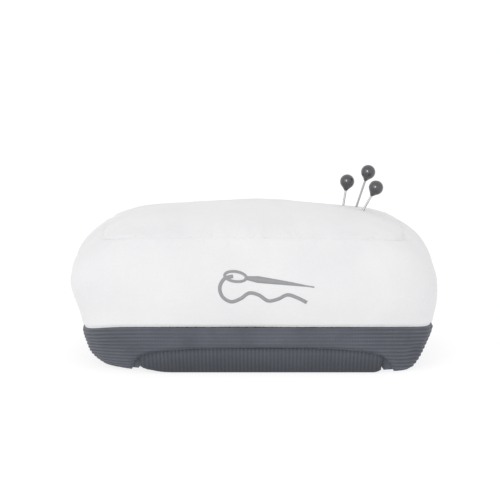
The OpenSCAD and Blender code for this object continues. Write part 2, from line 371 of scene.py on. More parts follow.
def swell():
    """How far each panel's points move as the cushion is stuffed, in mm, as grids over the panel."""
    top_r, top_t = square_plan(*TOP_GRID)
    ring = rim(top_t)
    cols = len(ring)
    resting = {}
    for panel, rows in (("lower", LOW_ROWS), ("side", SIDE_ROWS)):
        t, share = np.meshgrid(ring, np.linspace(0, 1, rows), indexing="xy")
        p = panel_points(panel, share, t)
        resting[panel] = (p, p - normals(p, True) * (SLACK[panel] * np.sin(share * np.pi))[..., None])
    p = panel_points("top", 1 - top_r, top_t)
    resting["top"] = (p, p - normals(p, False) * (SLACK["top"] * (1 - top_r**2))[..., None])
    rings = np.concatenate([resting["lower"][1], resting["side"][1][1:]])
    count = len(rings)
    roof = resting["top"][1][1:-1, 1:-1]
    bottom = count * cols + roof.shape[0] * roof.shape[1]
    points = np.concatenate([rings.reshape(-1, 3), roof.reshape(-1, 3), [[0, 0, ARCH_H]]])
    k, j = np.meshgrid(np.arange(count - 1), np.arange(cols), indexing="ij")
    ahead = (j + 1) % cols
    faces = np.stack([k, k, k + 1, k + 1], axis=-1) * cols + np.stack([j, ahead, ahead, j], axis=-1)
    ids = np.zeros(TOP_GRID, dtype=int)
    ids[1:-1, 1:-1] = count * cols + np.arange(roof.shape[0] * roof.shape[1]).reshape(roof.shape[:2])
    edge = (count - 1) * cols + np.arange(cols)
    wide, deep = TOP_GRID[1] - 1, TOP_GRID[0] - 1
    ids[0, :-1] = edge[:wide]
    ids[:-1, -1] = edge[wide:wide + deep]
    ids[-1, :0:-1] = edge[wide + deep:2 * wide + deep]
    ids[:0:-1, 0] = edge[2 * wide + deep:]
    cover = np.stack([ids[:-1, :-1], ids[:-1, 1:], ids[1:, 1:], ids[1:, :-1]], axis=-1)
    faces = faces.reshape(-1, 4).tolist() + cover.reshape(-1, 4).tolist()
    faces += [((a + 1) % cols, a, bottom) for a in range(cols)]
    seams = (0, LOW_ROWS - 1, count - 1)
    held = [row * cols + a for row in seams for a in range(cols)] + [bottom]
    blown = blown_up(points, faces, held)
    rings = blown[:count * cols].reshape(count, cols, 3)
    after = {"lower": rings[:LOW_ROWS], "side": rings[LOW_ROWS - 1:], "top": blown[ids]}
    moves = {}
    for panel, (p, _) in resting.items():
        move = after[panel] - p
        size = np.linalg.norm(move, axis=-1, keepdims=True)
        move = move / (1 + (size / MOVE_CAP) ** 4) ** 0.25
        for _ in range(4 if panel != "top" else 0):
            move = (np.roll(move, 1, axis=1) + 2 * move + np.roll(move, -1, axis=1)) / 4
        moves[panel] = move
    return moves


def spline_weights(f):
    return np.stack([(1 - f) ** 3, 3 * f**3 - 6 * f**2 + 4, -3 * f**3 + 3 * f**2 + 3 * f + 1, f**3]) / 6


def spline(grid, row, col, wrap):
    """A grid's values between its points, smoothed by a cubic B-spline and 0 along its edges."""
    grid = np.concatenate([-grid[1:2], grid, -grid[-2:-1]])
    if wrap:
        grid = np.concatenate([grid[:, -1:], grid, grid[:, :3]], axis=1)
    else:
        grid = np.concatenate([-grid[:, 1:2], grid, -grid[:, -2:-1]], axis=1)
    r0 = np.clip(np.floor(row), 0, grid.shape[0] - 4).astype(int)
    c0 = np.clip(np.floor(col), 0, grid.shape[1] - 4).astype(int)
    across, along = spline_weights(row - r0), spline_weights(col - c0)
    total = 0
    for a in range(4):
        for b in range(4):
            total = total + (across[a] * along[b])[..., None] * grid[r0 + a, c0 + b]
    return total


def moved(panel, share, t):
    """A side panel's moves at these shares of the way up it, round at angle t."""
    grid = moves[panel]
    ring = np.append(np.unwrap(rim(square_plan(*TOP_GRID)[1])), FIRST_CORNER + 2 * np.pi)
    turn = (t - FIRST_CORNER) % (2 * np.pi) + FIRST_CORNER
    return spline(grid, share * (grid.shape[0] - 1), np.interp(turn, ring, np.arange(len(ring))), True)


def moved_top(rows, cols):
    """The top's moves on a finer grid of this size."""
    grid = moves["top"]
    row, col = np.meshgrid(np.linspace(0, grid.shape[0] - 1, rows), np.linspace(0, grid.shape[1] - 1, cols),
                           indexing="ij")
    return spline(grid, row, col, False)


# ---------------------------------------------------------------- cloth pieces
def seam_groove(away, size):
    depth, width = size
    return depth * np.exp(-((away / width) ** 2))


def corner_tuck(ux, uy):
    """1 where the top seam turns the front right corner, and 0 away from it."""
    return np.exp(-(((ux - 0.985) / 0.04) ** 2)) * np.exp(-(((uy + 0.45) / 0.16) ** 2))


moves = swell()
RING = 560


def ring_angles():
    """Angles round the plan, closest together where the lower edge is steep."""
    t = np.pi / 2 + np.linspace(0, 2 * np.pi, 8001)
    step = np.diff(skin(t, edge_z(t)), axis=0)
    far = np.append(0, np.cumsum(np.hypot(np.hypot(step[:, 0], step[:, 1]), 4 * step[:, 2])))
    return np.interp(np.arange(RING) * far[-1] / RING, far, t)


def calm(t):
    """1 along the lower band, easing to 0 at the arches' ends."""
    grid = np.arange(2048) * 2 * np.pi / 2048
    steep = np.abs(np.roll(edge_z(grid), -1) - edge_z(grid)) * 2048
    away = np.minimum(np.arange(2048), 2048 - np.arange(2048)) * 2 * np.pi / 2048
    soft = np.real(np.fft.ifft(np.fft.fft(steep) * np.fft.fft(np.exp(-((away / 0.05) ** 2)))))
    return np.interp(t, grid, 1 - smooth(3 * soft / soft.max()), period=2 * np.pi)


ring_t = ring_angles()


def side_surface(rows):
    """The white side band: points, outward normals, and shares of the way up."""
    share = 0.5 - 0.5 * np.cos(np.linspace(0, 1, rows) * np.pi)
    t, s = np.meshgrid(ring_t, share, indexing="xy")
    p = panel_points("side", s, t) + moved("side", s, t)
    n = normals(p, True)
    up = steps_along(p, 0)
    along = steps_along(p[rows // 2][None], 1)[0][None]
    down = up[-1:] - up
    corner = corner_tuck(*plan(t))
    middle = np.sin(np.clip(s, 0, 1) * np.pi) ** 0.7
    p = p + n * (0.28 * soft_hollows(p) + 0.09 * small_hollows(p))[..., None] * middle[..., None]
    p = p + n * (0.10 * puckers(21)(along, up) + 0.12 * puckers(22)(along, down))[..., None]
    p = p - n * (seam_groove(up, MID_GROOVE) + seam_groove(down, TOP_GROOVE))[..., None]
    p = p - n * (seam_groove(down, TUCK_GROOVE) * corner)[..., None]
    return p, n


def side_band():
    outer, n = side_surface(64)
    inner = outer - n * COVER_T
    section = np.concatenate([outer, inner[::-1]], axis=0).transpose(1, 0, 2)
    along = steps_along(outer[:1], 1)[0]
    up = steps_along(outer, 0)
    obj = hoop("side_band_cloth", section, cloth_uv(along, np.concatenate([up, up[::-1]]).T, True))
    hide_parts("side_band")
    return finish_piece(obj, "cushion", white_cotton), outer, n


def finish_piece(obj, body, material):
    obj.data.materials.clear()
    obj.data.materials.append(material)
    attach(obj, body)
    return obj


def top_panel():
    size = (150, 236)
    r, t = square_plan(*size)
    ux, uy = plan(t)
    p = panel_points("top", 1 - r, t)
    uv = p[..., :2].copy()
    p = p + moved_top(*size)
    n = normals(p, False)
    away = (1 - r) * np.hypot(half_length(TOP_Z, ux) * ux, half_depth(TOP_Z, ux) * uy)
    along = np.arctan2(uy * HALF_W, ux * HALF_L) * 45
    corner = corner_tuck(ux, uy)
    lift = 0.22 * soft_hollows(p) + 0.08 * small_hollows(p)
    p = p + n * (lift * (1 - r**6) + 0.12 * puckers(22)(along, away))[..., None]
    p = p - n * (seam_groove(away, TOP_GROOVE) + seam_groove(away, TUCK_GROOVE) * corner)[..., None]
    for low, high in PIN_HOLES:
        gap = np.hypot(p[..., 0] - low, p[..., 1] - high)
        p[..., 2] -= 0.3 * np.exp(-((gap / 0.9) ** 2)) - 0.06 * np.exp(-(((gap - 1.6) / 0.7) ** 2))
    obj = slab("top_panel_cloth", p, p - n * COVER_T, uv)
    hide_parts("top_panel")
    return finish_piece(obj, "cushion", white_cotton)


def ribs(distance):
    """Height of a ribbed weave, 0 in its grooves and 1 on its ribs."""
    return (0.5 + 0.5 * np.cos(2 * np.pi * distance / RIB_PITCH)) ** 0.75


def lower_surface(rows):
    """The grey lower band: points, normals, distance down from its top seam, and distance along."""
    t, s = np.meshgrid(ring_t, np.linspace(0, 1, rows), indexing="xy")
    p = panel_points("lower", s, t) + moved("lower", s, t) * calm(t)[..., None]
    n = normals(p, True)
    up = steps_along(p, 0)
    down = up[-1:] - up
    along = steps_along(p[rows // 2][None], 1)[0]
    from_hem = up
    for step in range(-20, 21):
        from_hem = np.minimum(from_hem, np.linalg.norm(p - np.roll(p[0], step, axis=0), axis=-1))
    soft = 0.16 * soft_hollows(p) * np.clip(up / 4, 0, 1)
    p = p + n * (soft + 0.08 * puckers(23)(along[None], down))[..., None]
    p = p - n * (seam_groove(down, MID_GROOVE) + seam_groove(from_hem, HEM_ROLL))[..., None]
    return p, n, down, along, t


LOWER = lower_surface(132)


def hem_line():
    """The lower edge of the grey band: points, outward normals, and the way up its surface."""
    p, n = LOWER[0][0], unit(LOWER[1][3])
    tangent = unit(np.roll(p, -1, axis=0) - np.roll(p, 1, axis=0))
    n = unit(n - tangent * (n * tangent).sum(-1)[:, None])
    return p, n, np.cross(n, tangent)


def lower_band():
    base, n, down, along, t = LOWER
    up = down[:1] - down
    fade = np.clip(down / 0.6, 0, 1) * np.clip(up / 0.5, 0, 1)
    fade = fade * (0.35 + 0.65 * np.abs(plan(t)[0]) ** 3)
    outer = base + n * (0.3 * (ribs(down - RIB_START) - 0.5) * fade)[..., None]
    inner = (base - n * COVER_T)[::12][::-1]
    section = np.concatenate([outer, inner], axis=0).transpose(1, 0, 2)
    across = np.concatenate([down, down[::12][::-1]]).T
    obj = hoop("lower_band_cloth", section, cloth_uv(along, across, True))
    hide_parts("lower_band")
    return finish_piece(obj, "cushion", grey_rib)


def underside(x, y):
    """Height of the soft underside: its lobes fill out behind the arches' edges, up to the strap."""
    left, right = LOBE_EDGE
    low = (arch(x - (left + right) / 2, (right - left) / 2) ** 8 + arch(y, ARCH_W - 2) ** 8) ** (1 / 8)
    z = np.linspace(0, 9, 60)
    wall = [np.interp(np.abs(x), half_length(z, np.full_like(z, end)) - 1.0, z) for end in (-1.0, 1.0)]
    return np.maximum(low, np.where(x < 0, wall[0], wall[1]))


def base_panel():
    r, t = square_plan(150, 240)
    edge, out, up = hem_line()
    edge = edge - out * (0.6 * COVER_T) + up * 0.45
    order = np.argsort(ring_t % (2 * np.pi))
    turn = ring_t[order] % (2 * np.pi)
    sewn = [np.interp(t % (2 * np.pi), turn, edge[order, k], period=2 * np.pi) for k in range(3)]
    sewn = np.stack(sewn, axis=-1)
    away = (1 - r) * np.hypot(sewn[..., 0], sewn[..., 1])
    near = smooth((r - 0.5) / 0.5)[..., None]
    plain = skin(t, EDGE_LEVEL, 1.0)
    x, y = np.moveaxis(r[..., None] * (sewn * near + plain * (1 - near)), -1, 0)[:2]
    inside = smooth(away / 2.8)
    low = underside(x, y) + 0.12
    low = low + 0.14 * (1 + soft_hollows(np.stack([x, y, low], axis=-1))) * (1 - r**8)
    p = np.stack([x, y, low * inside + sewn[..., 2] * (1 - inside)], axis=-1)
    obj = slab("base_panel_cloth", p + np.array([0, 0, COVER_T]), p, np.stack([x, y], axis=-1))
    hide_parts("base_panel")
    return finish_piece(obj, "cushion", grey_lining)


def filling():
    """The stuffing, just inside the cover."""
    t = ring_t[::4]
    inset = 2.2
    first = skin(t, edge_z(t) + 1.9, inset)
    first_z = np.maximum(edge_z(t) + 1.9, underside(first[:, 0], first[:, 1]) + 2.1)
    rings = [skin(t, first_z + s * (MID_Z + 1.2 - first_z), inset) for s in np.linspace(0, 0.9, 6)]
    rings += [skin(t, np.full_like(t, z), inset) for z in np.linspace(MID_Z + 2, TOP_Z - 2.2, 10)]
    ux, uy = plan(t)
    low_r = np.linspace(0.03, 0.97, 12)
    first = rings[0]
    floor = []
    for r in low_r:
        x, y = first[:, 0] * r, first[:, 1] * r
        floor.append(np.stack([x, y, underside(x, y) + 2.1], axis=-1))
    last = rings[-1]
    roof = []
    for r in low_r[::-1]:
        z = dome(np.full_like(t, r), ux, uy) - 2.3
        roof.append(np.stack([last[:, 0] * r, last[:, 1] * r, z], axis=-1))
    p = np.array(floor + rings + roof)
    p[1:-1] += normals(p, True)[1:-1] * (0.25 * small_hollows(p))[1:-1, :, None]
    rows, cols = p.shape[:2]
    i, j = np.meshgrid(np.arange(rows - 1), np.arange(cols), indexing="ij")
    j2 = (j + 1) % cols
    faces = np.stack([i * cols + j, i * cols + j2, (i + 1) * cols + j2, (i + 1) * cols + j], axis=-1)
    faces = faces.reshape(-1, 4).tolist()
    faces += [list(range(cols))[::-1], [(rows - 1) * cols + k for k in range(cols)]]
    mesh = bpy.data.meshes.new("stuffing")
    mesh.from_pydata((p.reshape(-1, 3) * MM).tolist(), [], faces)
    mesh.shade_smooth()
    obj = bpy.data.objects.new("stuffing", mesh)
    scene.collection.objects.link(obj)
    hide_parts("filling_core")
    return finish_piece(obj, "cushion", stuffing)


# ---------------------------------------------------------------- strap
def strap():
    """One ribbed elastic from the front arch's seam, under the cushion, to the rear arch's seam."""
    x = np.linspace(-STRAP_W / 2, STRAP_W / 2, 8 * round(STRAP_W) + 1)
    edge = STRAP_W / 2 - np.abs(x)
    left = smooth(1 - (x + STRAP_W / 2) / 10)
    corner = smooth(1 - edge / 2.4)
    arch_z = arch(x + STRAP_X - ARCH_X, ARCH_L)
    wall_y = STRAP_Y - STRAP_T / 2 + 0.4
    fold = 1.9 + 0.9 * corner + 1.2 * left
    tuck = 2.4
    rows = []
    for s in np.linspace(1, 0, 22):
        z = fold + s * (arch_z + tuck - fold)
        below = smooth((arch_z + 0.3 - z) / 1.5)
        rows.append((wall_y - 1.5 * (1 - below) - 0.5 * corner * below, z))
    for a in np.linspace(0, np.pi / 2, 13)[1:]:
        rows.append((wall_y - 0.5 * corner - fold * (1 - np.cos(a)), fold * (1 - np.sin(a))))
    curl = STRAP_T / 2 + 0.1 + 0.2 * corner**2 + 1.1 * left**2
    front = [np.stack([x, -y + 0 * x, np.maximum(z, curl)], axis=-1) for y, z in rows]
    reach = wall_y - fold.max() - 0.5
    flat = [np.stack([x, y + 0 * x, curl], axis=-1) for y in np.linspace(-reach, reach, 18)[1:-1]]
    rear = [row * np.array([1, -1, 1]) for row in front[::-1]]
    p = np.array(front + flat + rear)
    p[..., 0] = STRAP_X + p[..., 0] * (1 - 0.01 * smooth((ARCH_H - p[..., 2]) / ARCH_H))
    n = -normals(p, False)
    thin = 1 - 0.45 * np.exp(-edge / 0.5)
    bump = 0.16 * (ribs(x) - 0.5) * np.clip(edge / 0.4, 0, 1) * smooth((p[..., 2] - 0.9) / 2)
    reach = (STRAP_T / 2 - 0.1) * thin + bump
    outer = p - n * reach[..., None]
    inner = p + n * reach[..., None]
    section = np.concatenate([inner, outer[:, ::-1]], axis=1)
    along = steps_along(p[:, len(x) // 2][None], 1)[0]
    across = np.broadcast_to(np.concatenate([x, x[::-1]]), (len(along), 2 * len(x)))
    obj = hoop("wrist_strap", section, cloth_uv(along, across, False), wrap=False)
    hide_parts("strap_front", "strap_web", "strap_rear")
    obj.data.materials.append(grey_elastic)
    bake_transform(obj)
    return obj


# ---------------------------------------------------------------- thread
def stitch_row(name, node, points, directions, length, material):
    """Short rounded stitches at these points, each lying along its direction."""
    sides, rings = 8, 7
    radius = THREAD_D / 2
    verts, faces = [], []
    for p, d in zip(points, directions):
        d = Vector(d).normalized()
        turn = d.to_track_quat("Z", "Y").to_matrix()
        base = len(verts)
        for i in range(rings):
            f = i / (rings - 1) * 2 - 1
            r = radius * max(0.25, math.sqrt(1 - abs(f) ** 4))
            for k in range(sides):
                w = 2 * math.pi * k / sides
                local = Vector((r * math.cos(w), r * math.sin(w), f * length / 2))
                verts.append(tuple(Vector(p) + turn @ local))
        for i in range(rings - 1):
            for k in range(sides):
                a, b = base + i * sides + k, base + i * sides + (k + 1) % sides
                faces.append((a, b, b + sides, a + sides))
        faces.append(tuple(base + k for k in range(sides))[::-1])
        faces.append(tuple(base + (rings - 1) * sides + k for k in range(sides)))
    mesh = bpy.data.meshes.new(name)
    mesh.from_pydata((np.array(verts) * MM).tolist(), [], faces)
    mesh.shade_smooth()
    obj = bpy.data.objects.new(name, mesh)
    scene.collection.objects.link(obj)
    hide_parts(node)
    return finish_piece(obj, "cushion", material)


def ring_stitches(name, node, level, material):
    """Stitches across the groove of the seam at this height, all the way round."""
    t = np.linspace(0, 2 * np.pi, 1441)
    along = steps_along(skin(t, level, STITCH_INSET)[None], 1)[0]
    count = int(along[-1] / STITCH_PITCH)
    where = np.interp(np.arange(count) * along[-1] / count, along, t)
    inset = STITCH_INSET + 1.2 * corner_tuck(*plan(where)) * (level > MID_Z)
    points = skin(where, level, inset)
    ahead = skin(where + 0.01, level, inset)
    tangent = unit(ahead - points)
    slant = unit(np.array([0, 0, 1.0]) + 0.35 * tangent)
    return stitch_row(name, node, points, slant, STITCH_L, material)


def base_stitches():
    """Stitches across the hem, from the grey band to the base panel."""
    p, out, up = hem_line()
    along = steps_along(p[None], 1)[0]
    picks = np.searchsorted(along, np.arange(int(along[-1] / STITCH_PITCH)) * STITCH_PITCH)
    tangent = np.cross(up, out)
    points = (p - 0.3 * out + 0.12 * up)[picks]
    direction = (out + 0.35 * tangent)[picks]
    return stitch_row("base_seam_stitches", "base_seam_thread", points, direction, STITCH_L,
                      grey_thread)


def closing_stitches():
    """Slanting stitches over the hem at the left end, where the cushion was closed."""
    p, out, up = hem_line()
    left = np.where(p[:, 0] < 0)[0]
    picks = left[[int(np.argmin(np.abs(p[left, 1] - y))) for y in (np.arange(7) - 3) * 2.6]]
    points = p[picks] + out[picks] * 0.42 + up[picks] * 1.3
    direction = up[picks] + np.array([0.0, 0.45, 0.0])
    return stitch_row("closing_stitches_thread", "closing_stitches", points, direction, 1.5,
                      grey_thread)


# ---------------------------------------------------------------- pins
def pin_axis(name):
    joint = next(j for j in frame["record"]["behaviour"]["joints"] if j["child"] == name)
    return np.array(joint["axis"]) / np.linalg.norm(joint["axis"])


def pin_line(name):
    """A pin's head centre in mm and its axis, from its nodes' boxes."""
    axis = pin_axis(name)
    low, high = box_mm(name + "_head")
    y = high[1] - HEAD_R if axis[1] > 0 else low[1] + HEAD_R
    return np.array([high[0] - HEAD_R, y, high[2] - HEAD_R]), axis


def pin_hole(name):
    """Where a pin goes through the top."""
    head, axis = pin_line(name)
    for out in np.arange(4, 16, 0.02):
        p = head - axis * out
        a, b = p[0] / half_length(TOP_Z, np.sign(p[0])), p[1] / half_depth(TOP_Z, 0)
        r = (abs(a) ** PLAN_POWER + abs(b) ** PLAN_POWER) ** (1 / PLAN_POWER)
        if p[2] <= dome(r, a / r, b / r):
            return p[:2]
    return p[:2]


def pin_head(name):
    """A glossy moulded ball that narrows to a short neck round the shaft."""
    centre, axis = pin_line(name)
    profile = []
    for a in np.linspace(0, math.radians(134), 30):
        profile.append((HEAD_R * math.sin(a), HEAD_R * math.cos(a)))
    start_r, start_z = profile[-1]
    for f in np.linspace(0, 1, 9)[1:]:
        r = start_r + (0.42 - start_r) * (1 - (1 - f) ** 1.25)
        profile.append((r, start_z - 1.3 * f))
    profile.append((0.34, profile[-1][1] - 0.03))
    sides = 56
    verts = [(0, 0, HEAD_R)]
    for r, z in profile[1:]:
        verts += [(r * math.cos(w), r * math.sin(w), z) for w in np.arange(sides) * 2 * math.pi / sides]
    faces = [(0, 1 + k, 1 + (k + 1) % sides) for k in range(sides)]
    for i in range(len(profile) - 2):
        a, b = 1 + i * sides, 1 + (i + 1) * sides
        faces += [(a + k, b + k, b + (k + 1) % sides, a + (k + 1) % sides) for k in range(sides)]
    a = 1 + (len(profile) - 2) * sides
    faces.append(tuple(a + k for k in range(sides)))
    turn = np.array(Vector(axis).to_track_quat("Z", "Y").to_matrix())
    p = np.array(verts) @ turn.T + centre
    mesh = bpy.data.meshes.new(name + "_ball")
    mesh.from_pydata((p * MM).tolist(), [], faces)
    mesh.shade_smooth()
    obj = bpy.data.objects.new(name + "_ball", mesh)
    scene.collection.objects.link(obj)
    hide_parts(name + "_head")
    return finish_piece(obj, name, pin_plastic)


# ---------------------------------------------------------------- printed motif
def on_front(outer, n, x, z, lift):
    """Points on the front of the side band at these x and z, in mm, lifted off it."""
    rows, cols = outer.shape[:2]
    front = np.where((outer[rows // 2, :, 1] < 0) & (np.abs(outer[rows // 2, :, 0]) < 40))[0]
    xs = outer[rows // 2, front, 0]
    order = np.argsort(xs)
    col = np.interp(x, xs[order], front[order].astype(float))
    zs = outer[:, front[len(front) // 2], 2]
    row = np.interp(z, zs, np.arange(rows).astype(float))
    c0, r0 = np.floor(col).astype(int), np.floor(row).astype(int)
    c1, r1 = np.minimum(c0 + 1, cols - 1), np.minimum(r0 + 1, rows - 1)
    fc, fr = (col - c0)[:, None], (row - r0)[:, None]

    def mixed(g):
        lower, upper = g[r0, c0] * (1 - fc) + g[r0, c1] * fc, g[r1, c0] * (1 - fc) + g[r1, c1] * fc
        return lower * (1 - fr) + upper * fr

    return mixed(outer) + unit(mixed(n)) * lift


def ribbon(name, path, width, outer, n, closed=False):
    """A flat stripe of ink along a path of (x, z) points."""
    path = np.asarray(path, dtype=float)
    if closed:
        tangent = unit(np.roll(path, -1, axis=0) - np.roll(path, 1, axis=0))
    else:
        tangent = unit(np.gradient(path, axis=0))
    side = np.stack([-tangent[:, 1], tangent[:, 0]], axis=-1)
    half = np.broadcast_to(np.asarray(width, dtype=float), (len(path),)) / 2
    lanes = []
    for k, lift in ((-1, 0.05), (0, 0.06), (1, 0.05), (1, -0.12), (0, -0.12), (-1, -0.12)):
        q = path + side * (half * k)[:, None]
        lanes.append(on_front(outer, n, q[:, 0], q[:, 1], lift))
    section = np.array(lanes).transpose(1, 0, 2)[:, ::-1]
    return hoop(name, section, np.zeros((len(path) + 1, 7, 2)), wrap=closed)


def curve_through(points, count):
    """A smooth path through a few points, by Catmull-Rom."""
    p = np.asarray(points, dtype=float)
    p = np.concatenate([[2 * p[0] - p[1]], p, [2 * p[-1] - p[-2]]])
    out = []
    for k in range(1, len(p) - 2):
        for f in np.linspace(0, 1, count, endpoint=False):
            a, b, c, d = p[k - 1], p[k], p[k + 1], p[k + 2]
            bend = (2 * a - 5 * b + 4 * c - d) * f**2 + (3 * b - a - 3 * c + d) * f**3
            out.append(0.5 * (2 * b + (c - a) * f + bend))
    return np.array(out + [p[-2]])


def motif(outer, n):
    """A needle and its thread, printed in grey on the front."""
    end, point = np.array([-8.4, 28.7]), np.array([16.9, 25.4])
    along = unit(point - end)
    lateral = np.array([-along[1], along[0]])
    eye = (3.1, 1.35)
    f = np.linspace(0, 1, 120)
    start = end + along * (2 * eye[0] - 0.5)
    width = np.minimum(0.9 + 5 * f, 1.95 * np.clip((1 - f) / 0.85, 0.12, 1) ** 0.75)
    needle = ribbon("printed_needle", start + (point - start) * f[:, None], width, outer, n)
    w = np.linspace(0, 2 * np.pi, 72, endpoint=False)
    loop = end + along * eye[0] + np.outer(np.cos(w) * eye[0], along) + np.outer(np.sin(w) * eye[1], lateral)
    eye_ring = ribbon("printed_eye", loop, 0.75, outer, n, closed=True)
    thread = curve_through(
        [(-6.0, 28.4), (-8.4, 27.7), (-9.7, 25.3), (-9.0, 22.6), (-6.6, 21.2), (-3.9, 22.1),
         (-1.4, 23.7), (1.3, 23.1), (3.9, 21.4), (6.7, 21.9), (9.3, 23.1), (12.1, 22.3), (14.9, 20.9)], 12)
    floss = ribbon("printed_thread", thread, 1.0, outer, n)
    for piece in (needle, eye_ring, floss):
        finish_piece(piece, "cushion", ink)


# ---------------------------------------------------------------- materials
class Shader:
    """A Principled material under construction. Names of inputs are Blender's own."""

    def __init__(self, name, **values):
        self.material = bpy.data.materials.new(name)
        self.material.use_nodes = True
        self.tree = self.material.node_tree
        self.shader = self.tree.nodes["Principled BSDF"]
        self.set(self.shader, values)

    def set(self, node, values):
        for key, value in values.items():
            socket = node.inputs[int(key[1:])] if key[0] == "_" else node.inputs[key.replace("_", " ")]
            if isinstance(value, bpy.types.NodeSocket):
                self.tree.links.new(value, socket)
            else:
                socket.default_value = value

    def node(self, kind, options=None, **values):
        made = self.tree.nodes.new("ShaderNode" + kind)
        for key, value in (options or {}).items():
            setattr(made, key, value)
        self.set(made, values)
        return made

    def math(self, operation, *values):
        sockets = {f"_{i}": v for i, v in enumerate(values)}
        return self.node("Math", {"operation": operation}, **sockets).outputs[0]

    def place(self, scale=1000.0):
        """The point's place in the object, in mm when scale is 1000."""
        coordinates = self.node("TexCoord").outputs["Object"]
        return self.node("Mapping", Vector=coordinates, Scale=(scale, scale, scale)).outputs[0]

    def cloth(self):
        """The point's place on its cloth, in mm: along and across."""
        uv = self.node("UVMap", {"uv_map": "cloth"}).outputs[0]
        split = self.node("SeparateXYZ", Vector=uv)
        return split.outputs[0], split.outputs[1]

    def noise(self, vector, scale, detail=3.0, roughness=0.5):
        made = self.node("TexNoise", Vector=vector, Scale=scale, Detail=detail, Roughness=roughness)
        return made.outputs[0]

    def ramp(self, factor, low, high):
        made = self.node("MapRange", Value=factor)
        made.inputs["To Min"].default_value = low
        made.inputs["To Max"].default_value = high
        return made.outputs[0]

    def mix(self, factor, a, b):
        made = self.node("Mix", {"data_type": "RGBA"})
        self.set(made, {"_0": factor, "_6": a, "_7": b})
        return made.outputs[2]

    def wave(self, distance, pitch, phase=0.0):
        """A ridge of height 0 to 1 once in every pitch."""
        turns = self.math("MULTIPLY_ADD", distance, 2 * math.pi / pitch, phase)
        return self.math("MULTIPLY_ADD", self.math("COSINE", turns), 0.5, 0.5)

    def bump(self, height, strength, distance):
        made = self.node("Bump", Height=height, Strength=strength, Distance=distance)
        self.tree.links.new(made.outputs[0], self.shader.inputs["Normal"])


def weave(s, pitch):
    """A plain weave's height: threads over and under each other, in both directions."""
    u, v = s.cloth()
    over = s.wave(u, pitch)
    across = s.wave(v, pitch)
    turn_u = s.math("SINE", s.math("MULTIPLY", u, math.pi / pitch))
    turn_v = s.math("SINE", s.math("MULTIPLY", v, math.pi / pitch))
    checker = s.math("MULTIPLY", turn_u, turn_v)
    threads = s.math("MULTIPLY_ADD", over, 0.5, s.math("MULTIPLY", across, 0.5))
    return s.math("MULTIPLY_ADD", checker, 0.25, threads)


def make_white_cotton():
    s = Shader("white_cotton", Roughness=0.92)
    s.set(s.shader, {"Specular_IOR_Level": 0.2, "Sheen_Weight": 0.12, "Sheen_Roughness": 0.5})
    place = s.place()
    cloud = s.noise(place, 0.05, 4.0)
    slub = s.noise(place, 1.6, 3.0, 0.7)
    tone = s.math("MULTIPLY_ADD", slub, 0.35, s.math("MULTIPLY", cloud, 0.65))
    colour = s.mix(s.ramp(tone, -0.4, 1.4), (0.705, 0.705, 0.72, 1), (0.79, 0.79, 0.797, 1))
    s.set(s.shader, {"Base_Color": colour, "Roughness": s.ramp(slub, 0.85, 0.97)})
    height = s.math("MULTIPLY_ADD", slub, 0.5, weave(s, 0.42))
    s.bump(height, 0.35, 0.00006)
    return s.material


def make_ribbed(name, dark, light, start, pitch, painted_shade_low=1.0, middle=1.0):
    """Ribbed cloth: its ribs are in the mesh, with fine threads across them, and its colour is painted paler
    on the ribs and darker in the grooves, as painted shade in the grooves.
    The low shade share is how much of its colour it keeps down by the table, painted shade that darkens it
    towards the bottom; middle is how much of the painted groove shade shows in the middle, where light falls
    flat on the cloth."""
    s = Shader(name, Roughness=0.9)
    s.set(s.shader, {"Specular_IOR_Level": 0.25, "Sheen_Weight": 0.2, "Sheen_Roughness": 0.4})
    place = s.place()
    along, across = s.cloth()
    ticks = s.wave(along, pitch)
    # Painted groove shade: the colour is paler on the ribs and darker in the grooves between them.
    painted_groove_shade = s.wave(across, RIB_PITCH, -2 * math.pi * start / RIB_PITCH)
    # The painted groove shade is full toward the ends and weaker toward the middle, where light falls flat
    # on the cloth.
    x = s.node("SeparateXYZ", Vector=s.place(1.0)).outputs[0]
    groove_shade_toward_end = s.node("MapRange", Value=s.math("ABSOLUTE", x))
    groove_shade_toward_end.inputs["From Min"].default_value = 0.024
    groove_shade_toward_end.inputs["From Max"].default_value = 0.042
    groove_shade_toward_end.inputs["To Min"].default_value = middle
    painted_groove_shade = s.math("MULTIPLY_ADD", s.math("SUBTRACT", painted_groove_shade, 0.5), groove_shade_toward_end.outputs[0], 0.5)
    fuzz = s.noise(place, 3.0, 4.0, 0.7)
    cloud = s.noise(place, 0.09, 3.0)
    patch = s.ramp(s.noise(place, 0.16, 2.0), 0.1, 1.0)
    tone = s.math("MULTIPLY", s.math("MULTIPLY_ADD", s.math("MULTIPLY", ticks, painted_groove_shade), 0.35, painted_groove_shade), patch)
    tone = s.math("MULTIPLY_ADD", tone, 0.42, s.math("MULTIPLY", fuzz, 0.35))
    tone = s.math("MULTIPLY_ADD", cloud, 0.3, s.math("SUBTRACT", tone, 0.02))
    colour = s.mix(tone, dark, light)
    # Painted shade: the colour darkens toward the table, down to the low shade share at the bottom.
    height = s.node("SeparateXYZ", Vector=place).outputs[2]
    low = s.node("MapRange", Value=height)
    low.inputs["From Max"].default_value = ARCH_H - 1.5
    low.inputs["To Min"].default_value = painted_shade_low
    options = {"data_type": "RGBA", "blend_type": "MULTIPLY"}
    painted_bottom_shade = s.node("Mix", options, _0=1.0, _6=colour, _7=low.outputs[0])
    s.set(s.shader, {"Base_Color": painted_bottom_shade.outputs[2], "Roughness": s.ramp(fuzz, 0.8, 0.96)})
    s.bump(s.math("MULTIPLY_ADD", fuzz, 0.6, ticks), 0.5, 0.00008)
    return s.material


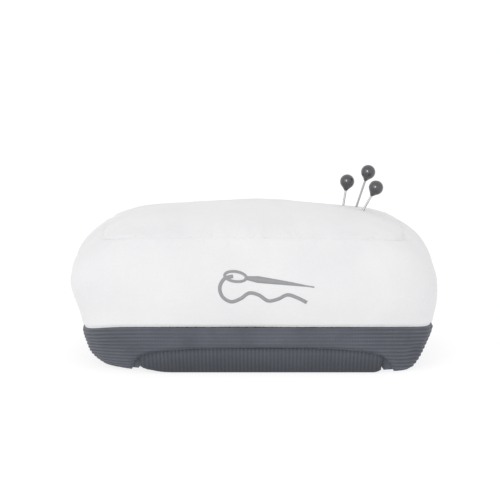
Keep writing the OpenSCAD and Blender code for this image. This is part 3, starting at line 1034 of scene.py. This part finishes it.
def make_lining():
    s = Shader("grey_lining", Roughness=0.9)
    s.set(s.shader, {"Specular_IOR_Level": 0.2, "Sheen_Weight": 0.15})
    place = s.place()
    fuzz = s.noise(place, 2.4, 4.0, 0.65)
    s.set(s.shader, {"Base_Color": s.mix(fuzz, (0.06, 0.065, 0.08, 1), (0.13, 0.14, 0.165, 1))})
    s.bump(s.math("MULTIPLY_ADD", fuzz, 0.5, weave(s, 0.5)), 0.5, 0.00008)
    return s.material


def make_thread(name, dark, light):
    s = Shader(name, Roughness=0.75)
    s.set(s.shader, {"Sheen_Weight": 0.3})
    place = s.place()
    options = {"bands_direction": "DIAGONAL"}
    twist = s.node("TexWave", options, Vector=place, Scale=1.3, Distortion=1.5).outputs[1]
    fuzz = s.noise(place, 6.0, 3.0, 0.7)
    s.set(s.shader, {"Base_Color": s.mix(s.math("MULTIPLY", twist, fuzz), dark, light)})
    s.bump(twist, 0.6, 0.00006)
    return s.material


def make_stuffing():
    s = Shader("stuffing", Roughness=0.95)
    place = s.place()
    fibre = s.noise(place, 0.8, 8.0, 0.75)
    s.set(s.shader, {"Base_Color": s.mix(fibre, (0.62, 0.61, 0.58, 1), (0.85, 0.84, 0.81, 1))})
    s.bump(fibre, 0.7, 0.0004)
    return s.material


def make_guard_plastic():
    s = Shader("guard_plastic", Roughness=0.45)
    place = s.place()
    grain = s.noise(place, 2.0, 3.0)
    s.set(s.shader, {"Base_Color": s.mix(grain, (0.66, 0.66, 0.65, 1), (0.74, 0.74, 0.73, 1))})
    s.set(s.shader, {"Roughness": s.ramp(grain, 0.38, 0.55)})
    s.bump(grain, 0.15, 0.00005)
    return s.material


def make_steel():
    s = Shader("pin_steel", Metallic=1.0, Roughness=0.3)
    place = s.place()
    drawn = s.noise(place, 5.0, 3.0)
    s.set(s.shader, {"Base_Color": s.mix(drawn, (0.34, 0.335, 0.33, 1), (0.47, 0.465, 0.46, 1))})
    s.set(s.shader, {"Roughness": s.ramp(drawn, 0.38, 0.52)})
    return s.material


def make_pin_plastic():
    s = Shader("pin_head_plastic", Roughness=0.25)
    s.set(s.shader, {"Specular_IOR_Level": 0.6, "Coat_Weight": 0.6, "Coat_Roughness": 0.16})
    place = s.place()
    swirl = s.noise(place, 0.9, 4.0)
    s.set(s.shader, {"Base_Color": s.mix(swirl, (0.036, 0.036, 0.041, 1), (0.056, 0.056, 0.062, 1))})
    s.set(s.shader, {"Roughness": s.ramp(swirl, 0.2, 0.34)})
    s.bump(swirl, 0.06, 0.0001)
    return s.material


def make_ink():
    s = Shader("grey_ink", Roughness=0.8)
    place = s.place()
    patch = s.noise(place, 2.6, 4.0, 0.6)
    s.set(s.shader, {"Base_Color": s.mix(patch, (0.26, 0.26, 0.275, 1), (0.34, 0.34, 0.355, 1))})
    s.set(s.shader, {"Roughness": s.ramp(patch, 0.7, 0.9)})
    s.bump(patch, 0.25, 0.00004)
    return s.material


white_cotton = make_white_cotton()
# The band's painted groove shade is weaker in its middle, where light falls flat on it.
grey_rib = make_ribbed("grey_rib", (0.036, 0.039, 0.050, 1), (0.174, 0.184, 0.217, 1), RIB_START, 0.44,
                       middle=0.45)
# The strap's colour darkens toward the table: painted shade on its lower part.
grey_elastic = make_ribbed("grey_elastic", (0.045, 0.049, 0.060, 1), (0.115, 0.123, 0.147, 1), 0.0, 0.5,
                           painted_shade_low=0.58)
grey_lining = make_lining()
white_thread = make_thread("white_thread", (0.72, 0.72, 0.73, 1), (0.88, 0.88, 0.88, 1))
grey_thread = make_thread("grey_thread", (0.07, 0.075, 0.09, 1), (0.16, 0.17, 0.2, 1))
stuffing = make_stuffing()
guard_plastic = make_guard_plastic()
pin_steel = make_steel()
pin_plastic = make_pin_plastic()
ink = make_ink()


# ---------------------------------------------------------------- stage
# Half the length and depth of the floor's patch of painted shade under the cushion in mm, the camera's
# height in degrees, and its aim
PAINTED_SHADE_PATCH = (40.0, 21.0)
CAMERA_UP = 10.0
AIM_X, AIM_UP = -0.0012, 0.03005


def stage():
    """A white table and soft light all round, with the camera just above the table."""
    reach = 3000
    floor = build("floor", [[-reach, -reach, 0], [reach, -reach, 0], [reach, reach, 0], [-reach, reach, 0]],
                  [[0, 1, 2, 3]])
    s = Shader("white_floor", Roughness=1.0)
    s.set(s.shader, {"Specular_IOR_Level": 0.0, "Base_Color": (0.22, 0.22, 0.22, 1)})
    # The floor glows evenly bright round the cushion but not over a patch under it, which stays dark:
    # painted shade under the cushion.
    split = s.node("SeparateXYZ", Vector=s.place(1.0))
    out_x = s.math("DIVIDE", s.math("ABSOLUTE", split.outputs[0]), PAINTED_SHADE_PATCH[0] * MM)
    out_y = s.math("DIVIDE", s.math("ABSOLUTE", split.outputs[1]), PAINTED_SHADE_PATCH[1] * MM)
    clear = s.node("MapRange", Value=s.math("MAXIMUM", out_x, out_y))
    clear.inputs["From Min"].default_value = 0.85
    clear.inputs["From Max"].default_value = 1.0
    glow = s.math("MULTIPLY", clear.outputs[0], 0.82)
    s.set(s.shader, {"Emission_Color": (1, 1, 1, 1), "Emission_Strength": glow})
    floor.data.materials.append(s.material)
    world = bpy.data.worlds.new("studio")
    scene.world = world
    world.use_nodes = True
    world.node_tree.nodes["Background"].inputs[0].default_value = (1, 1, 1, 1)
    world.node_tree.nodes["Background"].inputs[1].default_value = 0.97
    for name, place, size, power in (
        ("key", (-0.45, -0.6, 0.45), 0.7, 1.45),
        ("fill", (0.6, -0.5, 0.35), 0.7, 0.25),
        ("window", (-0.14, -0.62, 0.30), 0.22, 2.0),
    ):
        lamp = bpy.data.lights.new(name, "AREA")
        lamp.size, lamp.energy = size, power
        obj = bpy.data.objects.new(name, lamp)
        obj.location = place
        obj.rotation_euler = (Vector((0, 0, 0.02)) - Vector(place)).to_track_quat("-Z", "Y").to_euler()
        scene.collection.objects.link(obj)
        obj.visible_diffuse = name != "window"
    scene.view_settings.view_transform = "Standard"


def camera():
    """Ten degrees above the table, far off, with the cushion a little right of the middle."""
    lean, distance = math.radians(CAMERA_UP), 0.7
    aim = Vector((AIM_X, 0.0, 0.0)) + AIM_UP * Vector((0, math.sin(lean), math.cos(lean)))
    cam = bpy.data.cameras.new("camera")
    cam.sensor_width = 36
    cam.lens = 170
    cam.clip_start, cam.clip_end = 0.05, 20
    obj = bpy.data.objects.new("camera", cam)
    obj.location = aim + distance * Vector((0, -math.cos(lean), math.sin(lean)))
    obj.rotation_euler = (math.pi / 2 - lean, 0, 0)
    scene.collection.objects.link(obj)
    scene.camera = obj


camera()
stage()

PIN_HOLES = [pin_hole(name) for name in PIN_NAMES]

band, side_outer, side_normal = side_band()
top = top_panel()
lower = lower_band()
base = base_panel()
inside = filling()
strap()
motif(side_outer, side_normal)
ring_stitches("top_seam_stitches", "top_seam_thread", TOP_Z, white_thread)
ring_stitches("middle_seam_stitches", "middle_seam_thread", MID_Z, grey_thread)
base_stitches()
closing_stitches()
for name in PIN_NAMES:
    pin_head(name)


def dress(node, material):
    """Gives a CAD part that is kept its finished material."""
    obj = frame["nodes"][node]
    obj.data.materials.clear()
    obj.data.materials.append(material)


for name in PIN_NAMES:
    dress(name + "_shaft", pin_steel)
dress("guard_plate", guard_plastic)
dress("strap_front_thread", grey_thread)
dress("strap_rear_thread", grey_thread)
